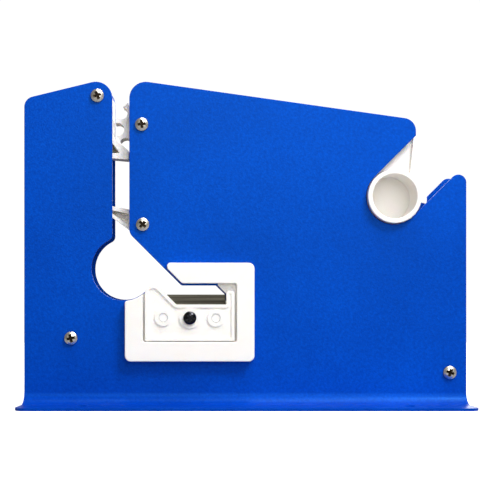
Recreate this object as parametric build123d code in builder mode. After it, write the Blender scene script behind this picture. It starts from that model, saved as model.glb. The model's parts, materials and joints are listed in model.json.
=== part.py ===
from build123d import *
import os
from math import cos, radians

# Bench-top bag neck tape sealer. Millimetres, +Z up, +X to the right of the operator, who stands at -Y.
# Origin: on the bench, under the middle of the foot. Front-view places are (x, z) pairs.

# ---- housing: two bent steel plates ----
plate_length = 187.5
foot_overhang = 2.0
foot_splay = 13.0
foot_reach = 19.5
body_width = 24.0
sheet = 1.2
bend_radius = 5.0
sheet_edge_round = 0.25
tower_outer_height = 130.8
tower_peak_height = 139.9
body_peak_height = 139.0
body_end_height = 121.9
body_end_x = 72.4
tower_outer_round = 4.5
peak_round = 7.0
body_end_round = 5.5
notch_tip_round = 0.8
ear_round = 3.4

# ---- channel, keyhole and trimming slot, cut through both plates ----
channel_left = -56.4
channel_width = 7.2
keyhole_x = -51.8
keyhole_z = 58.6
keyhole_radius = 13.4
keyhole_lip_round = 2.8
channel_foot_z = 73.6
channel_foot_round = 4.5
slot_top_z = 51.5
slot_top_round = 1.5
slot_slant_x = -12.2
slot_end_x = -8.3
slot_end_top_z = 47.7
slot_floor_z = 44.6
slot_floor_x = -36.0

# ---- hub notch ----
hub_x = 63.0
hub_z = 89.2
hub_radius = 11.35
hub_play = 0.35
notch_angle = 45.0

# ---- foot bolts, frame screws and pivot posts ----
foot_bolt_inset = 25.15
foot_bolt_radius = 2.15
foot_bolt_setback = 3.5
foot_corner_round = 5.0
screw_radius = 1.45
screw_clearance = 0.25
screw_head_radius = 2.75
screw_head_height = 2.0
recess_length = 3.7
recess_width = 1.4
recess_depth = 1.3
recess_draft = 12
screw_reach = 6.0
post_radius = 2.5
spacer_flats = 7.0
pivot_clearance = 0.05
thread_clearance = 0.05
arm_pivot = (-62.7, 132.0)
wheel_axis = (-43.9, 119.8)
lever_pivot = (-43.5, 77.4)
lower_left = (-73.9, 29.2)
lower_right = (86.6, 14.7)
front_turns = (24, 6, 48, 15, 70)
rear_turns = (60, 33, 80, 12, 40)

# ---- tape lane between the plates ----
lane_front = -7.0
lane_width = 12.0
side_gap = 0.2
sleeve_wall = 1.1
wire = 0.7
coil_radius = 4.7
coil_turns = 4.5
spring_leg = 9.0

# ---- star wheel, presser arm and gate lever ----
lobe_count = 9
lobe_tip_radius = 11.5
lobe_recess_radius = 2.7
lobe_root_radius = 7.8
first_lobe_angle = 128.5
arm_boss_radius = 4.4
arm_face_x = -56.2
arm_toe_x = -49.7
arm_toe_rise = 0.7
arm_pocket_depth = 10.4
lever_boss_radius = 4.6
lever_pocket_depth = 7.0

# ---- tape knife ----
bracket_thickness = 3.0
bracket_width = 8.0
knife_z = 95.0
knife_sheet = 0.5
knife_edge_x = -48.8
knife_tooth = 1.0

# ---- trimming cutter on the front plate ----
frame_left = -50.9
frame_right = 3.7
frame_bottom = 19.5
frame_top = 61.1
frame_depth = 4.6
frame_web = 1.0
window_left = -43.3
window_right = -3.8
window_bottom = 27.8
window_top = 52.4
frame_corner_round = 2.5
frame_bar_x = -33.1
frame_slant_sum = 25.6
carrier_gap = 0.9
carrier_depth = 2.9
carrier_lip = 1.3
carrier_field = 0.6
carrier_ledge_z = 43.5
carrier_top_z = 49.4
carrier_post_x = -8.1
tower_top_z = 51.6
tower_line = 14.3
tower_round = 3.2
blade_sheet = 0.5
blade_left = -39.2
blade_right = -8.4
blade_bottom = 33.0
blade_edge_z = 47.7
blade_bevel = 1.6
blade_land = 0.1
cutter_screw = (-23.5, 37.9)
cutter_screw_turn = 35
cutter_screw_head = 2.75
cutter_pins = ((-34.7, 38.0), (-12.5, 37.8))
pin_radius = 1.75
pin_gap = 0.12
pin_boss_radius = 3.6
screw_boss_radius = 4.5
spigots = ((-47.1, 24.0), (-0.1, 56.6))
nut_flats = 5.5
nut_height = 2.4

# ---- hub, tape drum and brake arm ----
hub_proud = 3.2
hub_tail = 1.4
hub_wall = 1.95
hub_rim_round = 0.45
hub_floor_y = 5.0
hub_floor = 2.0
collar_height = 1.1
collar_width = 1.1
collar_gap = 0.3
axle_groove = 0.6
ring_play = 0.1
ring_gap = 2.4
drum_wall = 1.1
drum_cheek_height = 4.4
drum_cheek = 1.5
cheek_notch_radius = 5.6
cheek_notch_at = 15.5
cheek_notch_angle = -27.0
brake_pivot = (28.0, 116.0)
brake_front = -8.6
brake_rear = 3.0
brake_recess = 2.0
brake_wall = 1.6
brake_rim = 1.1
brake_gap = 0.5
brake_boss_radius = 4.2
stud_radius = 2.0
stud_head_radius = 3.4
stud_head_height = 1.0
clip_sheet = 0.6

# ---- what follows from those sizes ----
inner_y = body_width / 2 - sheet
outer_y = body_width / 2
foot_length = plate_length + 2 * foot_overhang
foot_depth = body_width + 2 * foot_reach
foot_bolt_spacing = plate_length - 2 * foot_bolt_inset
half_length = plate_length / 2
bend_top = bend_radius + sheet
channel_right = channel_left + channel_width
channel_diagonal = channel_right + channel_foot_z
notch_half = hub_radius + hub_play
lane_rear = lane_front + lane_width
post_length = 2 * inner_y
pivot_bore = post_radius + pivot_clearance
frame_posts = (arm_pivot, wheel_axis, lever_pivot, lower_left, lower_right)
foot_bolt_y = outer_y + bend_radius + foot_bolt_setback
plate_hole = screw_radius + screw_clearance
drum_radius = hub_radius + pivot_clearance + drum_wall


def front_view(y):
    """Plane facing the operator at depth y: its x is +X, its y is +Z and it extrudes towards -Y."""
    return Plane.XZ.offset(-y)


def outline(corners):
    """Closed shape in the XY plane from (x, z, corner radius) points."""
    with BuildSketch() as shape:
        with BuildLine():
            Polyline(*[(x, z) for x, z, _ in corners], close=True)
        make_face()
        for x, z, radius in corners:
            if radius:
                fillet(shape.vertices().sort_by_distance((x, z, 0))[0], radius)
    return shape.sketch


def slab(shape, y_front, y_rear):
    """A front-view shape made solid from y_front to y_rear."""
    with BuildPart() as body:
        with BuildSketch(front_view(y_rear)):
            add(shape)
        extrude(amount=y_rear - y_front)
    return body.part


def tube(centre, radius, bore, y_front, y_rear):
    """A round piece along Y, hollow when bore is not zero."""
    with BuildPart() as body:
        with BuildSketch(front_view(y_rear)):
            with Locations(centre):
                Circle(radius)
                if bore:
                    Circle(bore, mode=Mode.SUBTRACT)
        extrude(amount=y_rear - y_front)
    return body.part


def pan_screw(reach, head_radius=screw_head_radius):
    """Cross-recessed pan-head screw: the head's underside is on the XY plane and the head points to +Z."""
    crown = screw_head_height * 0.45
    with BuildPart() as screw:
        with BuildSketch(Plane.XZ):
            with BuildLine():
                Line((0, -reach), (screw_radius, -reach))
                Line((screw_radius, -reach), (screw_radius, 0))
                Line((screw_radius, 0), (head_radius, 0))
                Line((head_radius, 0), (head_radius, screw_head_height - crown))
                ThreePointArc(
                    (head_radius, screw_head_height - crown),
                    (head_radius * 0.72, screw_head_height - crown * 0.34),
                    (0, screw_head_height),
                )
                Line((0, screw_head_height), (0, -reach))
            make_face()
        revolve(axis=Axis.Z)
        for turn in (0, 90):
            with BuildSketch(Plane.XY.offset(screw_head_height + 0.2).rotated((0, 0, turn))):
                Rectangle(recess_length, recess_width)
            extrude(amount=-recess_depth - 0.2, taper=recess_draft, mode=Mode.SUBTRACT)
    return screw.part


def torsion_spring(y_front, lead_angle):
    """Coil around the Y axis from y_front to the rear, with a straight leg tangent to each end."""
    pitch = wire * 1.16
    height = pitch * coil_turns
    tail_angle = 360 * coil_turns
    leg_end = (Align.CENTER, Align.CENTER, Align.MIN)
    leg = Cylinder(wire / 2, spring_leg, align=leg_end, mode=Mode.PRIVATE)
    lead = Pos(coil_radius, 0, 0) * Rot(90, 0, 0) * leg
    tail = Rot(0, 0, tail_angle) * Pos(coil_radius, 0, height) * Rot(-90, 0, 0) * leg
    with BuildPart() as coil:
        with BuildLine():
            Helix(pitch=pitch, height=height, radius=coil_radius)
        with BuildSketch(Plane(origin=(coil_radius, 0, 0), x_dir=(1, 0, 0), z_dir=(0, 1, 0))):
            Circle(wire / 2)
        sweep(is_frenet=True)
        add(lead)
        add(tail)
    upright = Rot(90, 0, 0) * Rot(0, 0, lead_angle) * coil.part
    return Pos(0, y_front + height + wire / 2, 0) * upright


# ---- shared outline of the two plates ----
with BuildSketch() as keyhole:
    with Locations((keyhole_x, keyhole_z)):
        Circle(keyhole_radius)
    with Locations(Location((channel_right, channel_foot_z, 0), (0, 0, 45))):
        Rectangle(plate_length, plate_length, align=(Align.MIN, Align.CENTER), mode=Mode.SUBTRACT)

with BuildSketch() as plate_outline:
    add(outline([
        (-half_length, bend_top, 0),
        (-half_length, tower_outer_height, tower_outer_round),
        (channel_left, tower_peak_height, peak_round),
        (channel_left, keyhole_z, 0),
        (channel_right, keyhole_z, 0),
        (channel_right, body_peak_height, peak_round),
        (body_end_x, body_end_height, body_end_round),
        (body_end_x, hub_z + 2 * notch_half, 0),
        (body_end_x, hub_z + notch_half, 0),
        (half_length, half_length + hub_z - hub_x, 0),
        (half_length, bend_top, 0),
    ]))
    add(keyhole.sketch, mode=Mode.SUBTRACT)
    slot_run = keyhole_radius * 0.6
    with BuildLine():
        Polyline(
            (keyhole_x, keyhole_z),
            (channel_right, channel_foot_z),
            (channel_diagonal - slot_top_z, slot_top_z),
            (slot_slant_x, slot_top_z),
            (slot_end_x, slot_end_top_z),
            (slot_end_x, slot_floor_z),
            (slot_floor_x, slot_floor_z),
            (slot_floor_x - slot_run, slot_floor_z + slot_run),
            close=True,
        )
    make_face(mode=Mode.SUBTRACT)
    with Locations((hub_x, hub_z)):
        Circle(notch_half, mode=Mode.SUBTRACT)
    with Locations(Location((hub_x, hub_z, 0), (0, 0, notch_angle))):
        Rectangle(plate_length, 2 * notch_half, align=(Align.MIN, Align.CENTER), mode=Mode.SUBTRACT)
    lip_rise = (keyhole_radius**2 - (channel_left - keyhole_x) ** 2) ** 0.5
    notch_offset = notch_half / cos(radians(notch_angle))
    rounds = (
        (channel_left, keyhole_z + lip_rise, keyhole_lip_round),
        (channel_right, channel_foot_z, channel_foot_round),
        (channel_diagonal - slot_top_z, slot_top_z, slot_top_round),
        (body_end_x, body_end_x + hub_z - hub_x + notch_offset, notch_tip_round),
        (half_length, half_length + hub_z - hub_x - notch_offset, ear_round),
    )
    for x, z, radius in rounds:
        fillet(plate_outline.vertices().sort_by_distance((x, z, 0))[0], radius)


def side_plate(extra_holes):
    """The front plate: upright sheet, bend and foot flange towards -Y. extra_holes are (place, radius)."""
    bend_y = -outer_y - bend_radius
    with BuildPart() as plate:
        with BuildSketch(front_view(-inner_y)):
            add(plate_outline.sketch)
            with Locations(*frame_posts):
                Circle(plate_hole, mode=Mode.SUBTRACT)
            for place, radius in extra_holes:
                with Locations(place):
                    Circle(radius, mode=Mode.SUBTRACT)
        extrude(amount=sheet)
        for side in (0, -1):
            face = plate.faces().sort_by(Axis.Y)[side]
            rim = face.outer_wire().edges().filter_by(lambda e: e.center().Z > bend_top + 0.01)
            fillet(rim, sheet_edge_round)
        with BuildSketch(Plane.YZ.offset(-foot_length / 2)):
            with Locations((bend_y, bend_top)):
                Circle(bend_top)
                Circle(bend_radius, mode=Mode.SUBTRACT)
                Rectangle(bend_top, bend_top, align=(Align.MIN, Align.MAX), mode=Mode.INTERSECT)
        extrude(amount=foot_length)
        with BuildSketch(Plane.XY):
            flange_run = foot_depth / 2 + bend_y
            with Locations((0, bend_y)):
                Rectangle(foot_length, flange_run, align=(Align.CENTER, Align.MAX))
            for side in (-1, 1):
                with Locations((side * foot_bolt_spacing / 2, -foot_bolt_y)):
                    Circle(foot_bolt_radius, mode=Mode.SUBTRACT)
        extrude(amount=sheet)
        for side in (-1, 1):
            with BuildSketch(Plane.XY):
                with BuildLine():
                    Polyline(
                        (side * half_length, 0),
                        (side * half_length, -outer_y),
                        (side * foot_length / 2, -outer_y - foot_splay),
                        (side * foot_length, -outer_y - foot_splay),
                        (side * foot_length, 0),
                        close=True,
                    )
                make_face()
            extrude(amount=bend_top, mode=Mode.SUBTRACT)
        upright = plate.edges().filter_by(Axis.Z).filter_by(lambda e: abs(e.length - sheet) < 0.01)
        fillet(upright.group_by(Axis.Y)[0], foot_corner_round)
    return plate.part


cutter_holes = [(cutter_screw, plate_hole)]
cutter_holes += [(place, pin_radius + screw_clearance) for place in spigots]
with BuildPart() as front_plate:
    add(side_plate(cutter_holes))

with BuildPart() as rear_plate:
    add(mirror(side_plate([(brake_pivot, stud_radius + thread_clearance)]), about=Plane.XZ))


# ---- posts, spacers, screws ----
def tapped_ends(place):
    """The two tapped holes in the ends of a post."""
    depth = screw_reach + 1.0
    front_end = tube(place, screw_radius + thread_clearance, 0, -inner_y, depth - inner_y)
    rear_end = tube(place, screw_radius + thread_clearance, 0, inner_y - depth, inner_y)
    return front_end, rear_end


def round_post(place):
    """A turned post between the plates, tapped at both ends."""
    with BuildPart() as post:
        add(tube(place, post_radius, 0, -inner_y, inner_y))
        add(tapped_ends(place), mode=Mode.SUBTRACT)
    return post.part


def hex_spacer(place):
    """A hexagonal spacer between the plates, tapped at both ends."""
    with BuildPart() as spacer:
        with BuildSketch(front_view(inner_y)):
            with Locations(place):
                RegularPolygon(spacer_flats / 2, 6, major_radius=False)
        extrude(amount=post_length)
        add(tapped_ends(place), mode=Mode.SUBTRACT)
    return spacer.part


with BuildPart() as arm_post:
    add(round_post(arm_pivot))

with BuildPart() as star_wheel_post:
    add(round_post(wheel_axis))

with BuildPart() as lever_post:
    add(round_post(lever_pivot))

with BuildPart() as lower_left_spacer:
    add(hex_spacer(lower_left))

with BuildPart() as lower_right_spacer:
    add(hex_spacer(lower_right))

frame_screw = pan_screw(screw_reach + sheet)
with BuildPart() as front_screws:
    for (x, z), turn in zip(frame_posts, front_turns):
        add(Pos(x, -outer_y, z) * Rot(90, 0, 0) * Rot(0, 0, turn) * frame_screw)

with BuildPart() as rear_screws:
    for (x, z), turn in zip(frame_posts, rear_turns):
        add(Pos(x, outer_y, z) * Rot(-90, 0, 0) * Rot(0, 0, turn) * frame_screw)

sleeve_bore = post_radius + 2 * pivot_clearance
sleeve_outer = sleeve_bore + sleeve_wall
with BuildPart() as pivot_sleeves:
    add(tube(arm_pivot, sleeve_outer, sleeve_bore, -inner_y, lane_front - side_gap))
    for place in (arm_pivot, wheel_axis, lever_pivot):
        add(tube(place, sleeve_outer, sleeve_bore, lane_rear + side_gap, inner_y))

# ---- star wheel ----
with BuildPart() as star_wheel:
    with BuildSketch(front_view(lane_rear)):
        with Locations(wheel_axis):
            Circle(lobe_tip_radius)
            recess_at = lobe_root_radius + lobe_recess_radius
            half_pitch = 180 / lobe_count
            with PolarLocations(recess_at, lobe_count, start_angle=first_lobe_angle + half_pitch):
                Circle(lobe_recess_radius, mode=Mode.SUBTRACT)
            Circle(pivot_bore, mode=Mode.SUBTRACT)
    extrude(amount=lane_width)
    for face_y, depth in ((lane_front, -1.2), (lane_rear, 1.2)):
        with BuildSketch(front_view(face_y)):
            with Locations(wheel_axis):
                Circle(lobe_root_radius - 1.0)
                Circle(pivot_bore + 1.6, mode=Mode.SUBTRACT)
        extrude(amount=depth, mode=Mode.SUBTRACT)

# ---- presser arm ----
arm_x, arm_z = arm_pivot
toe_top_z = wheel_axis[1] - lobe_tip_radius + arm_toe_rise
arm_outline = outline([
    (arm_x - 1.0, arm_z + arm_boss_radius - 0.4, 0),
    (arm_x + 3.4, arm_z + 3.0, 1.0),
    (arm_face_x, arm_z - 1.0, 1.0),
    (arm_face_x, toe_top_z + 5.6, 1.5),
    (arm_toe_x - 1.0, toe_top_z + 1.0, 0.5),
    (arm_toe_x, toe_top_z, 0.3),
    (arm_toe_x, toe_top_z - 3.7, 0.5),
    (arm_toe_x - 7.7, toe_top_z - 3.0, 1.0),
    (arm_toe_x - 9.2, toe_top_z - 0.8, 1.0),
    (arm_toe_x - 9.8, toe_top_z + 6.0, 4.0),
    (arm_x - 1.4, arm_z - 3.6, 0),
])
toe_pocket = outline([
    (arm_face_x - 1.5, toe_top_z + 4.9, 0.3),
    (arm_face_x + 2.7, toe_top_z - 0.8, 0.2),
    (arm_face_x - 1.5, toe_top_z - 0.9, 0.3),
])
with BuildPart() as presser_arm:
    add(slab(arm_outline, lane_front, lane_rear))
    add(tube(arm_pivot, arm_boss_radius, 0, lane_front, lane_rear))
    add(tube(arm_pivot, pivot_bore, 0, lane_front, lane_rear), mode=Mode.SUBTRACT)
    add(slab(toe_pocket, lane_front, lane_front + arm_pocket_depth), mode=Mode.SUBTRACT)

# ---- gate lever ----
lever_x, lever_z = lever_pivot
lever_outline = outline([
    (lever_x - 14.7, lever_z + 8.3, 0.8),
    (lever_x + 1.0, lever_z + 5.3, 1.5),
    (lever_x + 4.4, lever_z + 1.2, 0),
    (lever_x - 3.0, lever_z - 4.3, 0),
    (lever_x - 12.2, lever_z + 2.4, 0.8),
    (lever_x - 14.9, lever_z + 4.6, 0.8),
])
lever_pocket = outline([
    (lever_x - 13.6, lever_z + 6.4, 0.2),
    (lever_x - 6.2, lever_z + 4.85, 0.3),
    (lever_x - 6.2, lever_z - 0.3, 0.3),
    (lever_x - 13.6, lever_z + 5.3, 0.2),
])
with BuildPart() as gate_lever:
    add(slab(lever_outline, lane_front, lane_rear))
    add(tube(lever_pivot, lever_boss_radius, 0, lane_front, lane_rear))
    add(tube(lever_pivot, pivot_bore, 0, lane_front, lane_rear), mode=Mode.SUBTRACT)
    add(slab(lever_pocket, lane_front, lane_front + lever_pocket_depth), mode=Mode.SUBTRACT)

# ---- return springs ----
spring_y = lane_rear + side_gap + 0.3
with BuildPart() as arm_spring:
    add(Pos(arm_x, 0, arm_z) * torsion_spring(spring_y, 0))

with BuildPart() as lever_spring:
    add(Pos(lever_x, 0, lever_z) * torsion_spring(spring_y, 90))

# ---- tape knife on its bracket, behind the front plate ----
bracket_front = -inner_y
bracket_rear = bracket_front + bracket_thickness
block_x = lever_x - bracket_width / 2
with BuildPart() as knife_bracket:
    with BuildSketch(front_view(bracket_rear)):
        with BuildLine():
            Polyline(
                (wheel_axis[0] - bracket_width / 2, wheel_axis[1]),
                (wheel_axis[0] + bracket_width / 2, wheel_axis[1]),
                (lever_x + bracket_width / 2, lever_z),
                (lever_x - bracket_width / 2, lever_z),
                close=True,
            )
        make_face()
        with Locations(wheel_axis, lever_pivot):
            Circle(bracket_width / 2)
            Circle(sleeve_bore, mode=Mode.SUBTRACT)
    extrude(amount=bracket_thickness)
    with BuildSketch(front_view(lane_rear)):
        with Locations((block_x, knife_z)):
            Rectangle(bracket_width, 5.0, align=(Align.MIN, Align.MAX))
    extrude(amount=lane_rear - bracket_rear)
    knife_middle_y = (bracket_rear + lane_rear) / 2
    knife_width = lane_rear - bracket_rear - 1.0
    rivet_spots = [(block_x + 4.6, knife_middle_y + side * knife_width * 0.3) for side in (-1, 1)]
    with BuildSketch(Plane.XY.offset(knife_z)):
        with Locations(*rivet_spots):
            Circle(0.8)
    extrude(amount=-3.0, mode=Mode.SUBTRACT)

with BuildPart() as tape_knife:
    tooth_count = int(knife_width / knife_tooth)
    teeth_start = knife_middle_y - tooth_count * knife_tooth / 2
    edge = [(knife_edge_x + 0.9, teeth_start)]
    for tooth in range(tooth_count):
        edge.append((knife_edge_x, teeth_start + (tooth + 0.5) * knife_tooth))
        edge.append((knife_edge_x + 0.9, teeth_start + (tooth + 1) * knife_tooth))
    back_x = block_x + bracket_width - 0.6
    with BuildSketch(Plane.XY.offset(knife_z)):
        with BuildLine():
            Polyline(*edge, (back_x, edge[-1][1]), (back_x, edge[0][1]), close=True)
        make_face()
        with Locations(*rivet_spots):
            Circle(0.85, mode=Mode.SUBTRACT)
    extrude(amount=knife_sheet)

with BuildPart() as knife_rivets:
    for x, y in rivet_spots:
        with Locations((x, y, knife_z - 2.6)):
            Cylinder(0.75, 2.6 + knife_sheet, align=(Align.CENTER, Align.CENTER, Align.MIN))
        with Locations((x, y, knife_z + knife_sheet)):
            Cylinder(1.5, 0.7, align=(Align.CENTER, Align.CENTER, Align.MIN))

# ---- trimming cutter ----
frame_front = -outer_y - frame_depth
web_front = -outer_y - frame_web
blade_front = web_front - blade_sheet
with BuildSketch() as frame_outline:
    add(outline([
        (frame_left, frame_bottom, frame_corner_round),
        (frame_right, frame_bottom, frame_corner_round),
        (frame_right, frame_top, frame_corner_round),
        (frame_bar_x, frame_top, 1.3),
        (frame_bar_x, frame_slant_sum - frame_bar_x, 1.3),
        (frame_slant_sum - window_top, window_top, 1.2),
        (window_right, window_top, 0.8),
        (window_right, window_bottom, 0.8),
        (window_left, window_bottom, 0.8),
        (window_left, keyhole_z, 0),
        (frame_left, keyhole_z, 0),
    ]))
    with Locations((keyhole_x, keyhole_z)):
        Circle(keyhole_radius + 0.2, mode=Mode.SUBTRACT)
    left_side = frame_outline.vertices().filter_by(lambda v: abs(v.X - frame_left) < 0.01)
    rim_corner = left_side.sort_by(Axis.Y)[-1]
    fillet(rim_corner, 1.2)

web_outline = outline([
    (window_left - 1.0, window_bottom - 1.0, 0),
    (window_right + 1.0, window_bottom - 1.0, 0),
    (window_right + 1.0, window_top + 1.0, 0),
    (slot_slant_x + 0.6, window_top + 1.0, 0),
    (slot_slant_x + 0.6, slot_top_z, 0),
    (slot_end_x + 0.2, slot_end_top_z + 0.3, 0),
    (slot_end_x + 0.2, slot_floor_z + 0.5, 0),
    (slot_floor_x + 1.0, slot_floor_z + 0.5, 0),
    (slot_floor_x - 2.4, slot_floor_z + 3.9, 0),
    (window_left - 1.0, slot_floor_z + 3.4, 0),
])
with BuildPart() as cutter_frame:
    add(slab(frame_outline.sketch, frame_front, -outer_y))
    front_rim = cutter_frame.faces().sort_by(Axis.Y)[0].outer_wire().edges()
    fillet(front_rim, 0.4)
    add(slab(web_outline, web_front, -outer_y))
    for place in cutter_pins:
        add(tube(place, pin_radius, 0, web_front - carrier_depth - 0.2, -outer_y))
    for place in spigots:
        add(tube(place, pin_radius, 0, -outer_y, -inner_y))
    add(tube(cutter_screw, plate_hole, 0, web_front, -outer_y), mode=Mode.SUBTRACT)
    add(tube((keyhole_x, keyhole_z), keyhole_radius + 0.2, 0, frame_front, -outer_y), mode=Mode.SUBTRACT)

carrier_left = window_left + carrier_gap
carrier_right = window_right - carrier_gap
carrier_bottom = window_bottom + 0.35
carrier_corners = [
    (carrier_left, carrier_bottom, 0.6),
    (carrier_right, carrier_bottom, 0.6),
    (carrier_right, carrier_top_z, 1.2),
    (carrier_post_x, carrier_top_z, 1.2),
    (carrier_post_x, carrier_ledge_z, 0.3),
    (tower_line - carrier_ledge_z, carrier_ledge_z, 1.0),
    (tower_line - tower_top_z, tower_top_z, tower_round),
    (carrier_left, tower_top_z, tower_round),
]
carrier_outline = outline(carrier_corners)
carrier_back = blade_front
carrier_front = blade_front - carrier_depth
with BuildSketch() as carrier_recess:
    add(carrier_outline)
    offset(amount=-carrier_lip, kind=Kind.INTERSECTION, mode=Mode.REPLACE)
    for place in cutter_pins:
        with Locations(place):
            Circle(pin_boss_radius, mode=Mode.SUBTRACT)
    with Locations(cutter_screw):
        Circle(screw_boss_radius, mode=Mode.SUBTRACT)
with BuildPart() as blade_carrier:
    add(slab(carrier_outline, carrier_front, carrier_back))
    add(slab(carrier_recess.sketch, carrier_front, carrier_front + carrier_field), mode=Mode.SUBTRACT)
    for place in cutter_pins:
        add(tube(place, pin_radius + pin_gap, 0, carrier_front, carrier_back), mode=Mode.SUBTRACT)
    add(tube(cutter_screw, plate_hole, 0, carrier_front, carrier_back), mode=Mode.SUBTRACT)

with BuildPart() as trim_blade:
    with BuildSketch(front_view(web_front)):
        with BuildLine():
            Polyline(
                (blade_left, blade_bottom),
                (blade_right, blade_bottom),
                (blade_right, blade_edge_z),
                (blade_left + 6.2, blade_edge_z),
                (blade_left, blade_edge_z - 4.0),
                close=True,
            )
        make_face()
        with Locations(*cutter_pins):
            Circle(pin_radius + thread_clearance, mode=Mode.SUBTRACT)
        with Locations(cutter_screw):
            Circle(plate_hole, mode=Mode.SUBTRACT)
    extrude(amount=blade_sheet)
    with BuildSketch(Plane.YZ.offset(blade_left)):
        with BuildLine():
            Polyline(
                (blade_front - 1.0, blade_edge_z - blade_bevel),
                (blade_front, blade_edge_z - blade_bevel),
                (web_front - blade_land, blade_edge_z),
                (web_front - blade_land, blade_edge_z + 1.0),
                (blade_front - 1.0, blade_edge_z + 1.0),
                close=True,
            )
        make_face()
    extrude(amount=blade_right - blade_left, mode=Mode.SUBTRACT)

nut_front = -inner_y
screw_x, screw_z = cutter_screw
carrier_screw_reach = nut_front + nut_height - carrier_front + 0.6
with BuildPart() as carrier_screw:
    screw = pan_screw(carrier_screw_reach, cutter_screw_head)
    add(Pos(screw_x, carrier_front, screw_z) * Rot(90, 0, 0) * Rot(0, 0, cutter_screw_turn) * screw)

with BuildPart() as carrier_nut:
    with BuildSketch(front_view(nut_front + nut_height)):
        with Locations(cutter_screw):
            RegularPolygon(nut_flats / 2, 6, major_radius=False)
            Circle(screw_radius + thread_clearance, mode=Mode.SUBTRACT)
    extrude(amount=nut_height)

# ---- hub axle, its ring and the tape drum ----
hub = (hub_x, hub_z)
brake_web_rear = brake_front + brake_recess + brake_wall
collar_front = brake_web_rear + collar_gap
ring_front = inner_y - collar_gap - collar_width
collar_radius = hub_radius + collar_height
groove_radius = hub_radius - axle_groove
with BuildPart() as hub_axle:
    add(tube(hub, hub_radius, hub_radius - hub_wall, -outer_y - hub_proud, outer_y + hub_tail))
    fillet(hub_axle.edges().filter_by(GeomType.CIRCLE).group_by(Axis.Y)[0], hub_rim_round)
    add(tube(hub, hub_radius - hub_wall, 0, hub_floor_y, hub_floor_y + hub_floor))
    add(tube(hub, collar_radius, groove_radius, collar_front, collar_front + collar_width))
    ring_seat = tube(hub, hub_radius + axle_groove, groove_radius, ring_front, ring_front + collar_width)
    add(ring_seat, mode=Mode.SUBTRACT)

drum_front = collar_front + collar_width + side_gap
drum_rear = ring_front - side_gap
cheek_y = lane_rear + side_gap
with BuildSketch() as cheek:
    with Locations(hub):
        Circle(drum_radius + drum_cheek_height)
        with PolarLocations(cheek_notch_at, 3, start_angle=cheek_notch_angle):
            Circle(cheek_notch_radius, mode=Mode.SUBTRACT)
    fillet(cheek.vertices(), 0.5)
with BuildPart() as tape_drum:
    add(slab(cheek.sketch, cheek_y, cheek_y + drum_cheek))
    add(tube(hub, drum_radius, 0, drum_front, drum_rear))
    add(tube(hub, hub_radius + pivot_clearance, 0, drum_front, drum_rear), mode=Mode.SUBTRACT)

with BuildPart() as axle_ring:
    ring_rear = ring_front + collar_width - ring_play
    add(tube(hub, collar_radius, groove_radius + thread_clearance, ring_front + ring_play, ring_rear))
    with BuildSketch(front_view(ring_front + collar_width)):
        with Locations(hub):
            Rectangle(ring_gap, collar_radius + collar_height, align=(Align.CENTER, Align.MAX))
    extrude(amount=collar_width, mode=Mode.SUBTRACT)

# ---- brake arm ----
brake_x, brake_z = brake_pivot
shoe_radius = drum_radius + brake_gap
with BuildSketch() as brake_outline:
    add(outline([
        (brake_x - 1.6, brake_z + brake_boss_radius - 0.35, 0),
        (hub_x + 10.2, hub_z + 27.6, 1.5),
        (hub_x + 8.5, hub_z + 9.6, 0),
        (hub_x, hub_z + 6.0, 0),
        (hub_x - 6.6, hub_z + 9.8, 0),
        (brake_x - 2.0, brake_z - brake_boss_radius + 0.5, 0),
    ]))
    with Locations(brake_pivot):
        Circle(brake_boss_radius)
with BuildSketch() as brake_face_tray:
    add(brake_outline.sketch)
    offset(amount=-brake_rim, kind=Kind.INTERSECTION, mode=Mode.REPLACE)
    with Locations(brake_pivot):
        Circle(brake_boss_radius, mode=Mode.SUBTRACT)
with BuildSketch() as brake_back_tray:
    add(brake_outline.sketch)
    offset(amount=-brake_wall, kind=Kind.INTERSECTION, mode=Mode.REPLACE)
    with Locations(brake_pivot):
        Circle(brake_boss_radius, mode=Mode.SUBTRACT)
    with Locations(hub):
        Circle(shoe_radius + brake_wall, mode=Mode.SUBTRACT)
with BuildPart() as brake_arm:
    add(slab(brake_outline.sketch, brake_front, brake_rear))
    add(slab(brake_face_tray.sketch, brake_front, brake_front + brake_recess), mode=Mode.SUBTRACT)
    add(slab(brake_back_tray.sketch, brake_web_rear, brake_rear), mode=Mode.SUBTRACT)
    add(tube(hub, hub_radius + brake_gap, 0, brake_front, brake_rear), mode=Mode.SUBTRACT)
    add(tube(hub, shoe_radius, 0, brake_web_rear, brake_rear), mode=Mode.SUBTRACT)
    add(tube(brake_pivot, stud_radius + pivot_clearance, 0, brake_front, brake_rear), mode=Mode.SUBTRACT)

clip_rear = brake_front - side_gap
stud_end = clip_rear - clip_sheet - 0.6
with BuildPart() as brake_stud:
    add(tube(brake_pivot, stud_radius, 0, stud_end, outer_y))
    add(tube(brake_pivot, stud_head_radius, 0, outer_y, outer_y + stud_head_height))
    add(tube(brake_pivot, stud_head_radius, 0, inner_y - 1.0, inner_y))
    clip_groove = tube(brake_pivot, stud_radius + 1.0, stud_radius - 0.5, clip_rear - clip_sheet, clip_rear)
    add(clip_groove, mode=Mode.SUBTRACT)

with BuildPart() as brake_clip:
    clip_bore = stud_radius - 0.5 + thread_clearance
    add(tube(brake_pivot, stud_radius + 1.9, clip_bore, clip_rear - clip_sheet + 0.05, clip_rear - 0.05))
    with BuildSketch(front_view(clip_rear)):
        with Locations(brake_pivot):
            Rectangle(2 * clip_bore, 3 * stud_radius, align=(Align.CENTER, Align.MAX))
    extrude(amount=clip_sheet, mode=Mode.SUBTRACT)

with BuildPart() as brake_spring:
    add(Pos(brake_x, 0, brake_z) * torsion_spring(brake_rear + 0.4, 90))

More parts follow.
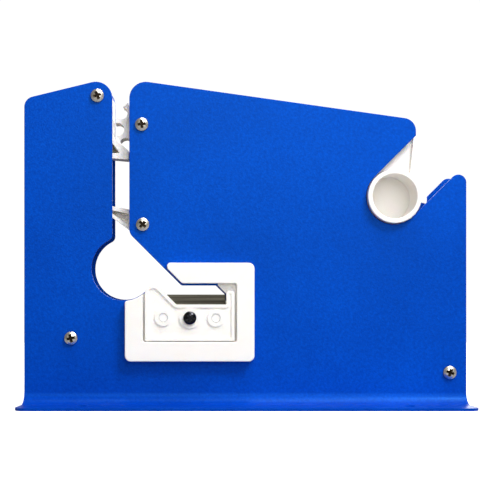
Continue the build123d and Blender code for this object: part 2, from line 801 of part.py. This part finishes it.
# ---- label and write every piece ----
pieces = {
    "front_plate": front_plate,
    "rear_plate": rear_plate,
    "arm_post": arm_post,
    "star_wheel_post": star_wheel_post,
    "lever_post": lever_post,
    "lower_left_spacer": lower_left_spacer,
    "lower_right_spacer": lower_right_spacer,
    "front_screws": front_screws,
    "rear_screws": rear_screws,
    "pivot_sleeves": pivot_sleeves,
    "star_wheel": star_wheel,
    "presser_arm": presser_arm,
    "arm_spring": arm_spring,
    "gate_lever": gate_lever,
    "lever_spring": lever_spring,
    "knife_bracket": knife_bracket,
    "tape_knife": tape_knife,
    "knife_rivets": knife_rivets,
    "cutter_frame": cutter_frame,
    "blade_carrier": blade_carrier,
    "trim_blade": trim_blade,
    "carrier_screw": carrier_screw,
    "carrier_nut": carrier_nut,
    "hub_axle": hub_axle,
    "tape_drum": tape_drum,
    "axle_ring": axle_ring,
    "brake_arm": brake_arm,
    "brake_stud": brake_stud,
    "brake_clip": brake_clip,
    "brake_spring": brake_spring,
}
os.makedirs("parts", exist_ok=True)
for name, piece in pieces.items():
    piece.part.label = name
    export_step(piece.part, f"parts/{name}.step")
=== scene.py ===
import json
import math

import bpy
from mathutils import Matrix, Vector


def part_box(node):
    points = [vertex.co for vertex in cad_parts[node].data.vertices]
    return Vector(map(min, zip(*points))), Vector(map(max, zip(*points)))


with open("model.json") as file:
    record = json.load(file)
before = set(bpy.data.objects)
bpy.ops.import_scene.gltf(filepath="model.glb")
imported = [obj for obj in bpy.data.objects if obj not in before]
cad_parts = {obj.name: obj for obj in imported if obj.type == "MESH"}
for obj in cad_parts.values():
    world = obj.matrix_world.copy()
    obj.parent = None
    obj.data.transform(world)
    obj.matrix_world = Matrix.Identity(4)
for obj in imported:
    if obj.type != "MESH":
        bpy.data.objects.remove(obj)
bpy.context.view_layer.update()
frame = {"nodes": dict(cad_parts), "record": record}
MM = 0.001
nodes = frame["nodes"]
scene = bpy.context.scene


# ---- node helpers ----
def new_material(name):
    """A material, its node tree and its Principled shader."""
    material = bpy.data.materials.new(name)
    material.use_nodes = True
    tree = material.node_tree
    return material, tree, tree.nodes["Principled BSDF"]


def noise(tree, scale, detail=2.0, stretch=None):
    """The factor of a noise texture in the object's own space, scale per metre."""
    place = tree.nodes.new("ShaderNodeTexCoord").outputs["Object"]
    texture = tree.nodes.new("ShaderNodeTexNoise")
    texture.inputs["Scale"].default_value = scale
    texture.inputs["Detail"].default_value = detail
    if stretch:
        mapping = tree.nodes.new("ShaderNodeMapping")
        mapping.inputs["Scale"].default_value = stretch
        tree.links.new(place, mapping.inputs["Vector"])
        place = mapping.outputs["Vector"]
    tree.links.new(place, texture.inputs["Vector"])
    return texture.outputs[0]


def ramp(tree, factor, stops):
    """A colour ramp through (place, colour) stops."""
    node = tree.nodes.new("ShaderNodeValToRGB")
    elements = node.color_ramp.elements
    while len(elements) < len(stops):
        elements.new(0.5)
    for element, (place, colour) in zip(elements, stops):
        element.position = place
        element.color = (*colour, 1.0)
    tree.links.new(factor, node.inputs["Fac"])
    return node.outputs["Color"]


def spread(tree, factor, low, high):
    """Maps a 0 to 1 factor onto low to high."""
    node = tree.nodes.new("ShaderNodeMapRange")
    node.inputs["To Min"].default_value = low
    node.inputs["To Max"].default_value = high
    tree.links.new(factor, node.inputs["Value"])
    return node.outputs["Result"]


def bump(tree, height, distance, strength):
    """The normal of a bump whose relief is distance metres at full strength."""
    node = tree.nodes.new("ShaderNodeBump")
    node.inputs["Distance"].default_value = distance
    node.inputs["Strength"].default_value = strength
    tree.links.new(height, node.inputs["Height"])
    return node.outputs["Normal"]


def by_ray(tree, output, lighting, seen):
    """Sends one shader to the camera and another to all other rays."""
    ray = tree.nodes.new("ShaderNodeLightPath")
    either = tree.nodes.new("ShaderNodeMixShader")
    tree.links.new(ray.outputs["Is Camera Ray"], either.inputs[0])
    tree.links.new(lighting.outputs[0], either.inputs[1])
    tree.links.new(seen.outputs[0], either.inputs[2])
    tree.links.new(either.outputs[0], tree.nodes[output].inputs["Surface"])


def srgb(red, green, blue):
    """Linear colour from 0 to 255 screen values."""
    def linear(value):
        value = value / 255
        return value / 12.92 if value <= 0.04045 else ((value + 0.055) / 1.055) ** 2.4
    return tuple(linear(value) for value in (red, green, blue))


# ---- materials ----
def powder_coat():
    """Satin powder coat: fine orange-peel skin and faint mottling."""
    grain_scale, cloud_scale, peel_scale = 900.0, 22.0, 1500.0
    cloud_share = 0.45
    peel_relief, peel_strength = 0.12 * MM, 0.6
    satin = (0.28, 0.38)

    material, tree, shader = new_material("blue_powder_coat")
    grain = noise(tree, grain_scale, detail=3.0)
    clouds = noise(tree, cloud_scale)
    mottling = tree.nodes.new("ShaderNodeMix")
    mottling.data_type = "FLOAT"
    mottling.inputs["Factor"].default_value = cloud_share
    tree.links.new(grain, mottling.inputs["A"])
    tree.links.new(clouds, mottling.inputs["B"])
    colour = ramp(tree, mottling.outputs["Result"], [
        (0.30, srgb(0, 53, 157)),
        (0.52, srgb(0, 63, 177)),
        (0.72, srgb(0, 75, 197)),
    ])
    tree.links.new(colour, shader.inputs["Base Color"])
    tree.links.new(spread(tree, clouds, *satin), shader.inputs["Roughness"])
    peel = bump(tree, noise(tree, peel_scale), peel_relief, peel_strength)
    tree.links.new(peel, shader.inputs["Normal"])
    shader.inputs["Specular IOR Level"].default_value = 0.40
    shader.inputs["Specular Tint"].default_value = (0.06, 0.40, 1.0, 1.0)
    return material


def moulded_plastic(name, light, shade, roughness):
    """White moulding: faint warm mottling and a spark-eroded skin."""
    cloud_scale, skin_scale = 45.0, 2600.0
    skin_relief, skin_strength = 0.04 * MM, 0.4
    bleed_depth, bleed_weight = 2.0 * MM, 0.25

    material, tree, shader = new_material(name)
    clouds = noise(tree, cloud_scale, detail=3.0)
    colour = ramp(tree, clouds, [(0.30, shade), (0.62, light)])
    tree.links.new(colour, shader.inputs["Base Color"])
    tree.links.new(spread(tree, clouds, *roughness), shader.inputs["Roughness"])
    skin = bump(tree, noise(tree, skin_scale, detail=1.0), skin_relief, skin_strength)
    tree.links.new(skin, shader.inputs["Normal"])
    shader.inputs["Subsurface Weight"].default_value = bleed_weight
    shader.inputs["Subsurface Radius"].default_value = (1.0, 0.72, 0.50)
    shader.inputs["Subsurface Scale"].default_value = bleed_depth
    shader.inputs["Specular IOR Level"].default_value = 0.4
    return material


def metal(name, light, dark, roughness, scale, stretch=None):
    """Bare or plated metal, tumbled or, where the noise is stretched, brushed."""
    relief, relief_strength = 0.03 * MM, 0.5

    material, tree, shader = new_material(name)
    streaks = noise(tree, scale, detail=4.0, stretch=stretch)
    colour = ramp(tree, streaks, [(0.32, dark), (0.66, light)])
    tree.links.new(colour, shader.inputs["Base Color"])
    shader.inputs["Metallic"].default_value = 1.0
    tree.links.new(spread(tree, streaks, *roughness), shader.inputs["Roughness"])
    tree.links.new(bump(tree, streaks, relief, relief_strength), shader.inputs["Normal"])
    return material


def paint_shade_below(material, depth, blend):
    """Painted shade on a screw nearer the middle plane than depth: in its recess and round its
    foot.
    """
    tree = material.node_tree
    shader = tree.nodes["Principled BSDF"]
    unshaded = shader.inputs["Base Color"].links[0].from_socket
    place = tree.nodes.new("ShaderNodeTexCoord")
    axes = tree.nodes.new("ShaderNodeSeparateXYZ")
    out = tree.nodes.new("ShaderNodeMath")
    out.operation = "ABSOLUTE"
    level = tree.nodes.new("ShaderNodeMapRange")
    level.inputs["From Min"].default_value = depth
    level.inputs["From Max"].default_value = depth + blend
    mix = tree.nodes.new("ShaderNodeMix")
    mix.data_type = "RGBA"
    # painted shade colour: dark brown standing in for the shade in the recess and round the
    # head's foot
    mix.inputs["A"].default_value = (*srgb(34, 28, 22), 1.0)
    tree.links.new(place.outputs["Object"], axes.inputs["Vector"])
    tree.links.new(axes.outputs["Y"], out.inputs[0])
    tree.links.new(out.outputs[0], level.inputs["Value"])
    tree.links.new(level.outputs["Result"], mix.inputs["Factor"])
    tree.links.new(unshaded, mix.inputs["B"])
    tree.links.new(mix.outputs["Result"], shader.inputs["Base Color"])


# Each slot's light colour, dark colour and roughness, and for a metal the scale of its noise.
finishes = {
    "blue_enamel": powder_coat(),
    "white_moulding": moulded_plastic(
        "white_moulding", srgb(253, 250, 245), srgb(250, 245, 238), (0.34, 0.46)
    ),
    "white_hub": moulded_plastic(
        "white_hub", srgb(253, 251, 247), srgb(251, 246, 240), (0.28, 0.40)
    ),
    "nickel": metal(
        "nickel_screw", srgb(252, 247, 236), srgb(232, 224, 206), (0.30, 0.42), 900.0
    ),
    "black_screw": metal(
        "black_oxide", srgb(66, 66, 70), srgb(34, 34, 38), (0.16, 0.28), 800.0
    ),
    "blade_steel": metal(
        "blade_steel", srgb(92, 89, 79), srgb(36, 33, 28), (0.34, 0.52), 260.0,
        stretch=(0.10, 1.0, 9.0),
    ),
    "zinc": metal(
        "zinc_plate", srgb(196, 198, 200), srgb(150, 152, 156), (0.26, 0.42), 500.0
    ),
    "spring_steel": metal(
        "spring_wire", srgb(150, 150, 152), srgb(105, 105, 110), (0.25, 0.38), 700.0
    ),
}
screw_top = -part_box("front_screws")[0][1]
recess_depth = 1.25 * MM
recess_shade_blend = 0.25 * MM
# painted shade in the nickel screws' cross recesses and round the foot of each head
paint_shade_below(finishes["nickel"], screw_top - recess_depth, recess_shade_blend)

for entry in frame["record"]["subparts"]:
    surface = nodes[entry["node"]].data.materials
    surface.clear()
    surface.append(finishes[entry["material_slot"]])

# ---- camera, square to the plates, with the framing made by lens shift ----
camera_data = bpy.data.cameras.new("camera")
camera_data.sensor_width = 36.0
camera_data.lens = 101.9
camera_data.shift_x = 0.10
camera_data.shift_y = 0.0875
camera_data.clip_start = 10.0 * MM
camera = bpy.data.objects.new("camera", camera_data)
camera.location = (-22.6 * MM, -588.0 * MM, 53.0 * MM)
camera.rotation_euler = (math.radians(90), 0, 0)
scene.collection.objects.link(camera)
scene.camera = camera

# ---- surroundings: dim and warm for the light, white for the camera ----
world = bpy.data.worlds.new("studio")
scene.world = world
world.use_nodes = True
room = world.node_tree.nodes["Background"]
room.inputs["Color"].default_value = (1.0, 0.94, 0.87, 1.0)
room.inputs["Strength"].default_value = 0.16
sweep = world.node_tree.nodes.new("ShaderNodeBackground")
sweep.inputs["Color"].default_value = (1.0, 1.0, 1.0, 1.0)
sweep.inputs["Strength"].default_value = 1.05
by_ray(world.node_tree, "World Output", lighting=room, seen=sweep)

# ---- floor: grey for the light, glowing white for the camera ----
floor_reach = 0.6
floor_mesh = bpy.data.meshes.new("floor")
floor_corners = [(-1, -1), (1, -1), (1, 1), (-1, 1)]
floor_mesh.from_pydata(
    [(x * floor_reach, y * floor_reach, 0) for x, y in floor_corners], [], [(0, 1, 2, 3)]
)
floor = bpy.data.objects.new("floor", floor_mesh)
scene.collection.objects.link(floor)
floor_material, floor_tree, floor_glow = new_material("pale_floor")
floor_glow.inputs["Base Color"].default_value = (0.9, 0.9, 0.9, 1.0)
floor_glow.inputs["Roughness"].default_value = 0.9
floor_glow.inputs["Emission Color"].default_value = (1.0, 1.0, 1.0, 1.0)
floor_glow.inputs["Emission Strength"].default_value = 0.78
floor_grey = floor_tree.nodes.new("ShaderNodeBsdfDiffuse")
floor_grey.inputs["Color"].default_value = (0.30, 0.30, 0.30, 1.0)
by_ray(floor_tree, "Material Output", lighting=floor_grey, seen=floor_glow)
floor_mesh.materials.append(floor_material)


# ---- lights ----
def softbox(name, place, side, power):
    """A square area light of side metres and power watts, aimed at the middle of the plates."""
    middle = Vector((0.0, 0.0, 0.07))
    data = bpy.data.lights.new(name, "AREA")
    data.shape = "RECTANGLE"
    data.size = side
    data.size_y = side
    data.energy = power
    light = bpy.data.objects.new(name, data)
    light.location = place
    light.rotation_euler = (middle - Vector(place)).to_track_quat("-Z", "Y").to_euler()
    scene.collection.objects.link(light)


softbox("key", (0.29, -0.40, 0.56), side=0.20, power=3.9)
softbox("front", (0.10, -1.10, 0.42), side=0.70, power=5.6)
softbox("top", (0.12, -0.20, 0.95), side=0.40, power=3.4)
softbox("back", (0.20, 1.10, 0.50), side=0.80, power=6.0)

scene.view_settings.view_transform = "Standard"
scene.view_settings.look = "None"
